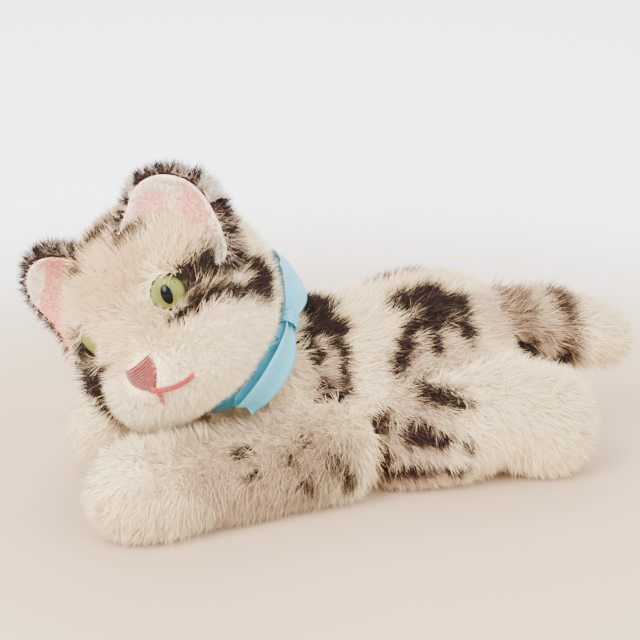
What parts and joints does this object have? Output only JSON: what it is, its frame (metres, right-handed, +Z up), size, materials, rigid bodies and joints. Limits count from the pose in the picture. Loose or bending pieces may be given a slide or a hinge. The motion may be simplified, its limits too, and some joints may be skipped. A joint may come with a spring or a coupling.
{
  "type": "plush cat",
  "caption": "Striped mohair plush cat lying on its belly, with glass eyes, a swivelling disc-jointed head and a satin ribbon bow.",
  "frame": {"origin": "middle of the cat's box, on the surface it lies on", "axes": "+Z up, the cat faces -Y with its tail toward +Y, its left side is +X"},
  "size_m": [0.0886, 0.1923, 0.1094],
  "materials": {
    "striped_mohair": "long mohair pile, cream with tan and airbrushed brown-black stripes",
    "belly_mohair": "cream mohair pile",
    "head_mohair": "long cream and warm beige mohair pile with airbrushed stripes",
    "muzzle_plush": "short dense creamy-white pile",
    "ear_mohair": "short brush-like dark grey pile",
    "ear_felt": "short cream pile, airbrushed pink",
    "eye_glass": "glossy, green iris with a black slit pupil",
    "steel_wire": "drawn wire and stamped washers",
    "embroidery_cotton": "coral-pink satin stitch",
    "whisker_nylon": "thin clear bristle",
    "disc_hardboard": "pressed fibre disc",
    "stuffing": "packed wood wool and kapok",
    "ribbon_satin": "light blue satin"
  },
  "bodies": {
    "body": {"torso_panel_left": "striped_mohair", "torso_panel_right": "striped_mohair", "belly_gusset": "belly_mohair", "torso_stuffing": "stuffing", "front_leg_left_cover": "striped_mohair", "front_leg_left_stuffing": "stuffing", "front_leg_right_cover": "striped_mohair", "front_leg_right_stuffing": "stuffing", "hind_leg_left_cover": "striped_mohair", "hind_leg_left_stuffing": "stuffing", "hind_leg_right_cover": "striped_mohair", "hind_leg_right_stuffing": "stuffing", "tail_cover": "striped_mohair", "tail_stuffing": "stuffing", "neck_disc_body": "disc_hardboard", "neck_washer_body": "steel_wire", "neck_cotter_pin": "steel_wire", "ribbon_band": "ribbon_satin", "ribbon_knot": "ribbon_satin", "ribbon_loop_upper": "ribbon_satin", "ribbon_loop_lower": "ribbon_satin", "ribbon_tails": "ribbon_satin"},
    "head": {"head_panel_left": "head_mohair", "head_panel_right": "head_mohair", "forehead_gusset": "head_mohair", "muzzle_panel": "muzzle_plush", "head_stuffing": "stuffing", "ear_left_back": "ear_mohair", "ear_left_lining": "ear_felt", "ear_right_back": "ear_mohair", "ear_right_lining": "ear_felt", "eye_left": "eye_glass", "eye_right": "eye_glass", "eye_left_shank": "steel_wire", "eye_right_shank": "steel_wire", "nose_stitching": "embroidery_cotton", "mouth_stitching": "embroidery_cotton", "whiskers_left": "whisker_nylon", "whiskers_right": "whisker_nylon", "neck_disc_head": "disc_hardboard", "neck_washer_head": "steel_wire"}
  },
  "joints": [
    {"name": "head_swivel", "type": "hinge", "parent": "body", "child": "head", "pos_m": [-0.0015, -0.03387, 0.04427], "axis": [0, -0.7771, 0.6293], "range_deg": [-115, 9]}
  ]
}
